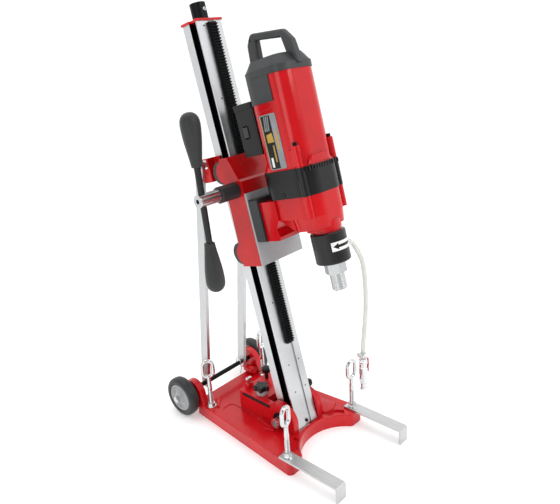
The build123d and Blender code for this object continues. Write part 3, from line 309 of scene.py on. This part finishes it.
def bentBand(bm, columns, radius, thick, centre):
    # columns is (arc, low s, high s) round the upright cylinder at centre (x, n); 0 degrees faces the front
    rows = []
    for arc, low, high in columns:
        a = math.radians(arc)
        rows.append([
            bm.verts.new(onMast(centre[0] + r * math.sin(a), centre[1] + r * math.cos(a), s))
            for r, s in ((radius, low), (radius, high), (radius + thick, high), (radius + thick, low))
        ])
    for near, far in zip(rows, rows[1:]):
        for i in range(4):
            j = (i + 1) % 4
            bm.faces.new((near[i], near[j], far[j], far[i]))
    bm.faces.new(rows[0])
    bm.faces.new(rows[-1])


def finishPiece(name, bm, body, materials, edge=0.0, smooth=35, replaced=()):
    bmesh.ops.recalc_face_normals(bm, faces=bm.faces)
    if edge:
        sharp = [e for e in bm.edges if len(e.link_faces) == 2 and e.calc_face_angle(0) > 0.5]
        bmesh.ops.bevel(bm, geom=sharp, offset=edge * mm, segments=2, profile=0.6, affect="EDGES")
    mesh = bpy.data.meshes.new(name)
    bm.to_mesh(mesh)
    bm.free()
    for material in materials:
        mesh.materials.append(material)
    mesh.shade_smooth()
    mesh.set_sharp_from_angle(angle=math.radians(smooth))
    piece = addObject(name, mesh)
    if replaced:
        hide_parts(*replaced)
    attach(piece, body)
    return piece


def repeated(name, seed, count, step, body, material):
    # a row of copies of the seed mesh, made with Geometry Nodes and then kept as plain mesh
    tree = bpy.data.node_groups.new(name, "GeometryNodeTree")
    for label, kind in (("Count", "NodeSocketInt"), ("Step", "NodeSocketVector")):
        tree.interface.new_socket(label, in_out="INPUT", socket_type=kind)
    tree.interface.new_socket("Geometry", in_out="OUTPUT", socket_type="NodeSocketGeometry")
    given = addNode(tree, "NodeGroupInput")
    line = addNode(tree, "GeometryNodeMeshLine", {
        "Count": given.outputs["Count"], "Offset": given.outputs["Step"],
    })
    one = addNode(tree, "GeometryNodeObjectInfo", {"Object": seed})
    row = addNode(tree, "GeometryNodeInstanceOnPoints", {
        "Points": line.outputs["Mesh"], "Instance": one.outputs["Geometry"],
    })
    real = addNode(tree, "GeometryNodeRealizeInstances", {"Geometry": row.outputs["Instances"]})
    painted = addNode(tree, "GeometryNodeSetMaterial", {
        "Geometry": real.outputs["Geometry"], "Material": material,
    })
    out = addNode(tree, "NodeGroupOutput")
    tree.links.new(painted.outputs["Geometry"], out.inputs["Geometry"])
    holder = addObject(name + "Maker", bpy.data.meshes.new(name + "Maker"))
    maker = holder.modifiers.new("row", "NODES")
    maker.node_group = tree
    for item in tree.interface.items_tree:
        if item.name == "Count":
            maker[item.identifier] = count
        if item.name == "Step":
            maker[item.identifier] = tuple(Vector(step) * mm)
    bpy.context.view_layer.update()
    ready = holder.evaluated_get(bpy.context.evaluated_depsgraph_get())
    mesh = bpy.data.meshes.new_from_object(ready)
    mesh.name = name
    for unwanted in (holder, seed):
        bpy.data.objects.remove(unwanted)
    piece = addObject(name, mesh)
    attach(piece, body)
    return piece


def seedFrom(bm, name):
    bmesh.ops.recalc_face_normals(bm, faces=bm.faces)
    mesh = bpy.data.meshes.new(name)
    bm.to_mesh(mesh)
    bm.free()
    return addObject(name, mesh)


def upright(x, y, z):
    return Vector((x, y, z)) * mm


def alongFront(n):
    return lambda x, s, w: onMast(x, n + w, s)


def alongFlank(x):
    return lambda n, s, w: onMast(x - w, n, s)


# mast: bare faces; the faces deep in the side grooves get a near-black metal colour
mastMesh = nodes["mast_profile"].data
mastMesh.materials.append(nearBlackGroove)
groove = {
    "inner": 18, "edge": 34.4, "bottom": 40, "top": 1003,
    "front": -3.9, "rear": -26.1, "slotFront": -33, "slotRear": -45,
}
for face in mastMesh.polygons:
    x, n, s = face.center.x / mm, face.center.dot(frontDir) / mm, face.center.dot(upDir) / mm
    inGroove = groove["rear"] < n < groove["front"] or groove["slotRear"] < n < groove["slotFront"]
    onFlank = groove["inner"] < abs(x) < groove["edge"]
    if inGroove and onFlank and groove["bottom"] < s < groove["top"]:
        face.material_index = 1
# tapped and empty holes of the mast's face, as dark discs of painted shade for their insides, and the joint
# of its cover strip
mastHoles = {
    "small": [(-17, 994), (-17, 838), (-17, 360), (-15, 200), (-15, 129), (21, 201), (22, 130)],
    "big": [(0, 46)], "smallRadius": 1.9, "bigRadius": 4.2, "proud": 0.12,
}
coverJoint = oblong(12, 12.6, 36, 250)
bm = bmesh.new()
for size in ("small", "big"):
    radius = mastHoles[size + "Radius"]
    for x, s in mastHoles[size]:
        # the disc's dark colour is painted shade for the inside of the hole
        inkAndHoleShade = [(-1, radius), (mastHoles["proud"], radius), (mastHoles["proud"], 0)]
        lathe(bm, inkAndHoleShade, onMast(x, 0, s), frontDir, 24)
slab(bm, coverJoint, -0.5, mastHoles["proud"], alongFront(0))
finishPiece("mastHoles", bm, "mast", [blackOxideAndHoleShade])
# the brace tube's screw end shows bare zinc in front of this depth
braceScrewBack = -6.4
nodes["brace_tube"].data.materials.append(brightZinc)
for face in nodes["brace_tube"].data.polygons:
    if face.center.dot(frontDir) / mm > braceScrewBack:
        face.material_index = 1
print("mast done")

# wheels: rubber tyre on a plastic rim with turned rings
wheel = {"x": 116, "y": 330, "z": 53.5, "steps": 128}
tyreProfile = [
    (3, 36), (0.6, 40), (0, 45), (1.4, 49), (5, 52), (10, 52.9), (14, 53), (18, 52.9), (23, 52), (26.6, 49),
    (28, 45), (27.4, 40), (25, 36),
]
rimProfile = [
    (-3, 6.05), (-3, 13), (8, 17), (8, 28), (2, 31), (2, 35.9), (26, 35.9), (27, 35), (27, 33.4),
    (25.8, 32.6), (22, 31.6), (21, 30.6), (21, 28.2), (22.6, 27.6), (22.6, 26.2), (20.4, 25.4), (20.2, 21.6),
    (22.2, 20.6), (22.2, 17.8), (24, 16.6), (28, 15), (31, 13.2), (31, 6.05),
]
wheelParts = {
    "tyre": (tyreProfile, "tyre_rubber", tyreRubber),
    "rim": (rimProfile, "rim_grey", rimPlastic),
}
for hand, side in ((-1, "left"), (1, "right")):
    inner = upright(hand * wheel["x"], wheel["y"], wheel["z"])
    for part, (profile, slotName, material) in wheelParts.items():
        bm = bmesh.new()
        lathe(bm, profile, inner, (hand, 0, 0), wheel["steps"], closed=True)
        node = part + "_" + side
        finishPiece(part + side.title(), bm, "wheel_" + side, [material], replaced=[node])
print("wheels done")

# levelling eye bolts: rolled thread below, forged loop above
eyeBolt = {
    "loop": 13.5, "wire": 5, "straight": 18, "ringZ": 146, "loopSteps": 24, "wireSteps": 20,
    "pitch": 1.75, "crest": 5.98, "root": 5.55, "threadFrom": 3, "threadTo": 84,
}
eyePlaces = {
    "fl": (-122.7, -35.3, 10), "fr": (122.7, -35.3, -6), "rl": (-96.8, 256.2, -30), "rr": (96.8, 256.2, 20),
}
shank = [(0.6, 0), (0.6, 4.6), (2, 5.9)]
height = eyeBolt["threadFrom"]
while height < eyeBolt["threadTo"]:
    shank += [(height, eyeBolt["crest"]), (height + 0.5 * eyeBolt["pitch"], eyeBolt["root"])]
    height += eyeBolt["pitch"]
shank += [(85, 5.95), (100, 5.95), (104, 5.2), (116, 5.0), (121, 5.6), (125, 5.2), (127, 0)]


def forgedLoop(bm, x, y, turnBy):
    first = Vector((math.cos(math.radians(turnBy)), math.sin(math.radians(turnBy)), 0))
    across = Vector((0, 0, 1)).cross(first)
    path = []
    for half in (0, 1):
        lift = eyeBolt["straight"] / 2 * (1 if half == 0 else -1)
        for i in range(eyeBolt["loopSteps"] + 1):
            a = math.pi * (half + i / eyeBolt["loopSteps"])
            path.append((eyeBolt["loop"] * math.cos(a), eyeBolt["loop"] * math.sin(a) + lift))
    rings = []
    for i, (u, v) in enumerate(path):
        before, after = path[i - 1], path[(i + 1) % len(path)]
        run = Vector((after[0] - before[0], after[1] - before[1])).normalized()
        out = Vector((run.y, -run.x))
        ring = []
        for k in range(eyeBolt["wireSteps"]):
            a = 2 * math.pi * k / eyeBolt["wireSteps"]
            flat = Vector((u, v)) + out * (eyeBolt["wire"] * math.cos(a))
            spot = first * flat.x + Vector((0, 0, 1)) * (flat.y + eyeBolt["ringZ"])
            spot += across * (eyeBolt["wire"] * math.sin(a)) + Vector((x, y, 0))
            ring.append(bm.verts.new(spot * mm))
        rings.append(ring)
    for low, high in zip(rings, rings[1:] + rings[:1]):
        for k in range(eyeBolt["wireSteps"]):
            m = (k + 1) % eyeBolt["wireSteps"]
            bm.faces.new((low[k], low[m], high[m], high[k]))


for corner, (x, y, turnBy) in eyePlaces.items():
    bm = bmesh.new()
    lathe(bm, shank, upright(x, y, 0), (0, 0, 1), 40)
    forgedLoop(bm, x, y, turnBy)
    node = "eye_bolt_" + corner
    finishPiece("eyeBolt" + corner.title(), bm, node, [brightZinc], replaced=[node])
print("eye bolts done")

# feed handle's grips
feedGrip = {"x": -160, "n": 26, "s": 640, "lean": 8.8, "length": 110, "reach": {1: 180, -1: 202}}
handleTilt = math.radians(feedGrip["lean"])
handleDir = upDir * math.cos(handleTilt) + frontDir * math.sin(handleTilt)
hubMiddle = onMast(feedGrip["x"], feedGrip["n"], feedGrip["s"])
gripProfile = [
    (0, 0), (0, 10.8), (0.8, 11.5), (8, 12.2), (20, 13.8), (34, 16), (48, 18.1), (62, 19.8), (76, 20.8),
    (86, 21), (94, 20.2), (100, 18), (105, 14.2), (108.4, 9), (109.8, 4), (110, 0),
]
bm = bmesh.new()
for hand, reach in feedGrip["reach"].items():
    neck = hubMiddle + handleDir * (hand * (reach - feedGrip["length"]) * mm)
    lathe(bm, gripProfile, neck, handleDir * hand)
finishPiece("feedGrips", bm, "feed", [gripRubber], replaced=["feed_grips"])

# spindle's thread: rounded turns on the stub
drillAxis = (0, 201)
thread = {"bottom": 396.5, "pitch": 3.6, "turns": 9}
threadTurn = [(0, 15.2), (0, 16.05), (0.9, 16.3), (1.7, 16.05), (1.7, 15.2)]
bm = bmesh.new()
lathe(bm, threadTurn, onMast(*drillAxis, thread["bottom"]), upDir, 64, closed=True)
seed = seedFrom(bm, "threadTurn")
step = upDir * thread["pitch"]
repeated("threadTurns", seed, thread["turns"], step, "spindle", turnedSteel)

# gear ring: ribs along its upper front edge, and a filler plug
rib = {
    "left": -46, "width": 3, "low": 654, "high": 662.5, "back": 230.5, "front": 233.2, "step": 8, "count": 12,
}
bm = bmesh.new()
ribOutline = oblong(rib["left"], rib["left"] + rib["width"], rib["low"], rib["high"])
slab(bm, ribOutline, rib["back"], rib["front"], alongFront(0))
seed = seedFrom(bm, "ringRib")
repeated("ringRibs", seed, rib["count"], (rib["step"], 0, 0), "carriage", blackAbsAndHoleShade)
plugPlace = onMast(-57, 156, 613)
bm = bmesh.new()
lathe(bm, [(-2, 6), (0.6, 6), (1.2, 5.4), (1.2, 3.4), (0.4, 3.0), (0.4, 0)], plugPlace, (-1, 0, 0), 40)
finishPiece("fillerPlug", bm, "carriage", [blackAbsAndHoleShade])

# motor housing: cast step below the screw boss, raised pad over the ring and a thin rib on the flank
housingSteps = [
    (oblong(196, 226, 664, 701), -1, 1.4, alongFlank(-54), 0.06),
    ([(-40, 664), (28, 664), (12, 683), (-32, 683)], -3, 5.5, alongFront(225), 0.14),
    ([(137, 782), (184, 788), (184, 790), (137, 784)], -1, 0.9, alongFlank(-55), 0.0),
]
bm = bmesh.new()
for outline, low, high, put, inset in housingSteps:
    slab(bm, outline, low, high, put, inset)
finishPiece("housingSteps", bm, "carriage", [motorEnamel], edge=0.8)

# rating plate: printed bands, without any lettering
plateTop = alongFlank(-55.9)
film, inkAndHoleShade = 0.1, 0.16  # the black film's face and the ink's face, above the plate
bm = bmesh.new()
slab(bm, oblong(142, 167, 669, 775.5), 0, film, plateTop)
finishPiece("platePrintBlack", bm, "carriage", [printBlack])
bm = bmesh.new()
slab(bm, oblong(139.4, 141.2, 690, 772), 0, film, plateTop)
slab(bm, [(147, 722), (165.6, 722), (163, 741), (147, 738)], film, inkAndHoleShade, plateTop)
slab(bm, oblong(158.5, 162.5, 682, 716), film, inkAndHoleShade, plateTop)
slab(bm, [(171, 706), (177, 706), (177, 744), (173, 744)], 0, 0.06, plateTop)
finishPiece("platePrintGold", bm, "carriage", [printGold])
bars = {"count": 3, "step": 5}
bm = bmesh.new()
slab(bm, [(146, 745), (149, 745), (153, 774), (150, 774)], film, inkAndHoleShade, plateTop)
seed = seedFrom(bm, "platePrintBar")
step = frontDir * bars["step"]
repeated("platePrintBars", seed, bars["count"], step, "carriage", printedFilm)
bm = bmesh.new()
slab(bm, oblong(146, 152, 672, 692), film, inkAndHoleShade, plateTop)
finishPiece("platePrintPale", bm, "carriage", [printWhite])


def ease(start, end, count):
    return [start + (end - start) * i / count for i in range(count + 1)]


# swivel's sticker: white with a plain black arrow for the turning sense; arcs in degrees round the swivel
sticker = {"from": -47, "to": 36, "low": 481, "high": 500, "radius": 37.4, "thick": 0.3}
arrow = {
    "tip": -41, "neck": -23, "tail": 32, "tipLow": 490.3, "tipHigh": 490.7, "flare": 0.36,
    "shaftLow": 487.6, "shaftHigh": 493.4, "radius": 37.6, "thick": 0.25,
}
bm = bmesh.new()
whole = [(a, sticker["low"], sticker["high"]) for a in ease(sticker["from"], sticker["to"], 24)]
bentBand(bm, whole, sticker["radius"], sticker["thick"], drillAxis)
finishPiece("swivelSticker", bm, "carriage", [printWhite])
head = []
for a in ease(arrow["tip"], arrow["neck"], 8):
    widening = arrow["flare"] * (a - arrow["tip"])
    head.append((a, arrow["tipLow"] - widening, arrow["tipHigh"] + widening))
shaft = [(a, arrow["shaftLow"], arrow["shaftHigh"]) for a in ease(arrow["neck"], arrow["tail"], 16)]
bm = bmesh.new()
for columns in (head, shaft):
    bentBand(bm, columns, arrow["radius"], arrow["thick"], drillAxis)
finishPiece("swivelArrow", bm, "carriage", [printBlack])
print("drill details done")

# switch box: bright latch, and the drain hole moulded in the carrying handle, as a black disc of painted
# shade
bm = bmesh.new()
slab(bm, oblong(71, 79, 757.5, 760), 0, 1.2, alongFlank(-40.0))
finishPiece("switchLatch", bm, "carriage", [brightZinc], edge=0.3)
# the black disc is painted shade for the inside of the drain hole
drainHole = {"radius": 3.6, "proud": 0.25, "place": onMast(-9.5, 116, 929)}
bm = bmesh.new()
lathe(
    bm, [(-2, drainHole["radius"]), (drainHole["proud"], drainHole["radius"]), (drainHole["proud"], 0)],
    drainHole["place"], (-1, 0, 0), 32,
)
finishPiece("handleHole", bm, "carriage", [blackAbsAndHoleShade])

# base: raised pads, wheel boss and lever pad
deckZ = 34


def onDeck(u, v, w):
    return upright(u, v, deckZ + w)


bm = bmesh.new()
slab(bm, [(58, 62), (104, 50), (110, 6), (84, -6), (58, 2)], -1, 4.5, onDeck, inset=0.05)
slab(bm, [(-84, 78), (-76, 54), (-62, 60), (-60, 118), (-66, 120), (-69, 76), (-79, 86)], -1, 4, onDeck)
slab(bm, [(-88, 236), (-62, 262), (-62, 272), (-92, 242)], -1, 5, onDeck)
lathe(bm, [(0, 11), (34, 11), (35, 10), (35, 0)], upright(80, 306, 47), (0, -1, 0), 48)
slab(bm, oblong(-38, -20, 172, 186), 53.5, 68, onDeck)
finishPiece("basePads", bm, "base", [baseEnamel], edge=1.4)
leverBolt = {"y": 179, "z": 102, "columns": (-33, -25)}
bm = bmesh.new()
for x in leverBolt["columns"]:
    hexBolt = [(0, 2.6), (10, 2.6), (10, 5), (14, 5), (14, 0)]
    lathe(bm, hexBolt, upright(x, leverBolt["y"], leverBolt["z"]), (0, 0, 1), 6)
finishPiece("leverBolts", bm, "base", [brightZinc], edge=0.4)
frontKnob = [(-2, 5), (3, 5), (4, 9), (7, 10.5), (13, 10.5), (17, 8.5), (19, 4), (19.4, 0)]
rearKnob = [(-1, 5), (18, 5), (19, 11), (24, 13), (31, 12), (35, 7), (36, 0)]
bm = bmesh.new()
for profile, foot in ((frontKnob, upright(51, 46, 102.5)), (rearKnob, upright(30, 173, 88))):
    lathe(bm, profile, foot, (0, 0, 1), 48)
finishPiece("lockingKnobs", bm, "base", [blackAbsAndHoleShade])
# the tilt knob's collar is grey, and the pivot's outer washers are black
knobCollarTop = 100.9
pivot = {"y": 50, "z": 58, "washerFrom": 53, "washerTo": 57.6, "boltHead": 13}
nodes["tilt_knob"].data.materials.append(rimPlastic)
for face in nodes["tilt_knob"].data.polygons:
    if face.center.z / mm < knobCollarTop:
        face.material_index = 1
nodes["pivot_bolt"].data.materials.append(blackOxideAndHoleShade)
for face in nodes["pivot_bolt"].data.polygons:
    fromAxis = math.hypot(face.center.y / mm - pivot["y"], face.center.z / mm - pivot["z"])
    inWasher = pivot["washerFrom"] < abs(face.center.x / mm) < pivot["washerTo"]
    if inWasher and fromAxis > pivot["boltHead"]:
        face.material_index = 1
print("base details done")

# hose clamp's screw and the valve's hexagons
valve = {"x": 109.5, "y": -81.76, "z": 200}
valveTop = upright(valve["x"], valve["y"], valve["z"])
bm = bmesh.new()
for profile, steps in (
    ([(-14, 5), (-14, 10.2), (-13, 10.8), (-4, 10.8), (-3, 10.2), (-3, 5)], 6),
    ([(-3, 5), (-3, 8.4), (-0.3, 8.4), (-0.3, 5)], 48),
    ([(-66, 5), (-66, 10.2), (-65, 10.8), (-56, 10.8), (-55, 10.2), (-55, 5)], 6),
    ([(-72, 5), (-72, 7.6), (-68, 7.6), (-68, 5)], 48),
    ([(-84, 5), (-84, 8.2), (-80, 8.2), (-80, 5)], 48),
    ([(-42, 5), (-42, 10.3), (-24, 10.3), (-24, 5)], 48),
):
    lathe(bm, profile, valveTop, (0, 0, 1), steps, closed=True)
valveRings = finishPiece("valveRings", bm, "carriage", [chrome])
bm = bmesh.new()
screwProfile = [(-8, 0), (-8, 3.4), (6, 3.4), (6, 4.4), (9, 4.4), (9, 0)]
lathe(bm, screwProfile, upright(100.5, -81.76, 210.5), (0, 1, 0), 24)
clampScrew = finishPiece("clampScrew", bm, "carriage", [brightZinc])
print("valve done")

# water hose: clear PVC tube that hangs from the swivel's barb to the valve
hose = {"radius": 5.5, "length": 352}
hosePoints = [
    (44.15, -81.76, 519.05), (56.87, -81.76, 516.35), (69.5, -81.76, 508.6), (85.0, -81.76, 493.5),
    (99.5, -81.76, 472.0), (112.0, -81.76, 450.0), (119.5, -81.76, 412.0), (123.5, -81.76, 368.0),
    (122.5, -81.76, 322.0), (117.0, -81.76, 280.0), (111.5, -81.76, 245.0), (109.5, -81.76, 222.0),
    (109.5, -81.76, 200.0),
]
hoseCurve = bpy.data.curves.new("waterHose", "CURVE")
hoseCurve.dimensions = "3D"
hoseCurve.bevel_depth = hose["radius"] * mm
hoseCurve.bevel_resolution = 8
hoseCurve.resolution_u = 16
hoseCurve.use_fill_caps = True
spline = hoseCurve.splines.new("NURBS")
spline.points.add(len(hosePoints) - 1)
for point, place in zip(spline.points, hosePoints):
    point.co = (*(Vector(place) * mm), 1)
spline.order_u = 3
spline.use_endpoint_u = True
hosePiece = addObject("waterHose", hoseCurve)
# clear PVC: milky, slightly yellow, smooth outside
material, tree, shader, place = startMaterial("clearPvc")
milk = noise(tree, place, 12, 3.0)
ripple = addNode(tree, "ShaderNodeBump", {"Height": milk, "Strength": 0.1, "Distance": 0.5 * mm})
fillInputs(tree, shader, {
    "Base Color": twoTone(tree, milk, 0.0, 1.0, linear("dcdcd6"), linear("f0f0ec")),
    "Normal": ripple.outputs["Normal"],
    "Roughness": 0.22,
    "IOR": 1.5,
    "Transmission Weight": 0.35,
    "Subsurface Weight": 0.2,
    "Subsurface Radius": (0.004, 0.004, 0.004),
})
hoseCurve.materials.append(material)
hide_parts("water_hose")
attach(hosePiece, "carriage")
print("hose done")


# plain pale floor
halfFloor = 30
floorMesh = bpy.data.meshes.new("floor")
floorCorners = [(x, y, 0) for x, y in oblong(-halfFloor, halfFloor, -halfFloor, halfFloor)]
floorMesh.from_pydata(floorCorners, [], [(0, 1, 2, 3)])
floor = addObject("floor", floorMesh)
material, tree, shader, place = startMaterial("paleFloor")
fillInputs(tree, shader, {
    "Base Color": linear("f8f8f8"),
    "Roughness": 0.7,
    "Specular IOR Level": 0.1,
    "Emission Color": (1, 1, 1, 1),
    "Emission Strength": 0.22,
})
floorMesh.materials.append(material)

# a white sweep behind the rig, a dimmer room on the side the light comes from
studio = {"bright": 1.15, "dim": 0.4, "dimSide": (-0.67, -0.65, 0.35)}
world = bpy.data.worlds.new("studio")
bpy.context.scene.world = world
world.use_nodes = True
background = world.node_tree.nodes["Background"]
background.inputs["Color"].default_value = (1, 1, 1, 1)
look = addNode(world.node_tree, "ShaderNodeTexCoord").outputs["Generated"]
sides = {0: look, 1: studio["dimSide"]}
towards = addNode(world.node_tree, "ShaderNodeVectorMath", sides, operation="DOT_PRODUCT")
level = addNode(world.node_tree, "ShaderNodeMapRange", {
    "Value": towards.outputs["Value"], "From Min": 0.1, "From Max": 0.7,
    "To Min": studio["bright"], "To Max": studio["dim"],
})
world.node_tree.links.new(level.outputs["Result"], background.inputs["Strength"])
bpy.context.scene.view_settings.view_transform = "Standard"

# soft studio light: places and sizes in metres, power in watts
lamps = {
    "keyLight": {"place": (0.6, -2.4, 2.4), "target": (0, 0, 0.5), "size": (1.6, 1.6), "power": 34},
    "fillLight": {"place": (-2.6, -0.6, 1.4), "target": (0, 0, 0.5), "size": (1.2, 2.0), "power": 16},
    "topLight": {"place": (-0.2, 0.4, 3.0), "target": (0, 0, 0.4), "size": (2.0, 2.0), "power": 14},
}
for name, lamp in lamps.items():
    light = bpy.data.lights.new(name, "AREA")
    light.shape = "RECTANGLE"
    light.size, light.size_y = lamp["size"]
    light.energy = lamp["power"]
    softbox = addObject(name, light)
    softbox.location = lamp["place"]
    aim = Vector(lamp["target"]) - Vector(lamp["place"])
    softbox.rotation_euler = aim.to_track_quat("-Z", "Y").to_euler()
print("stage ready")
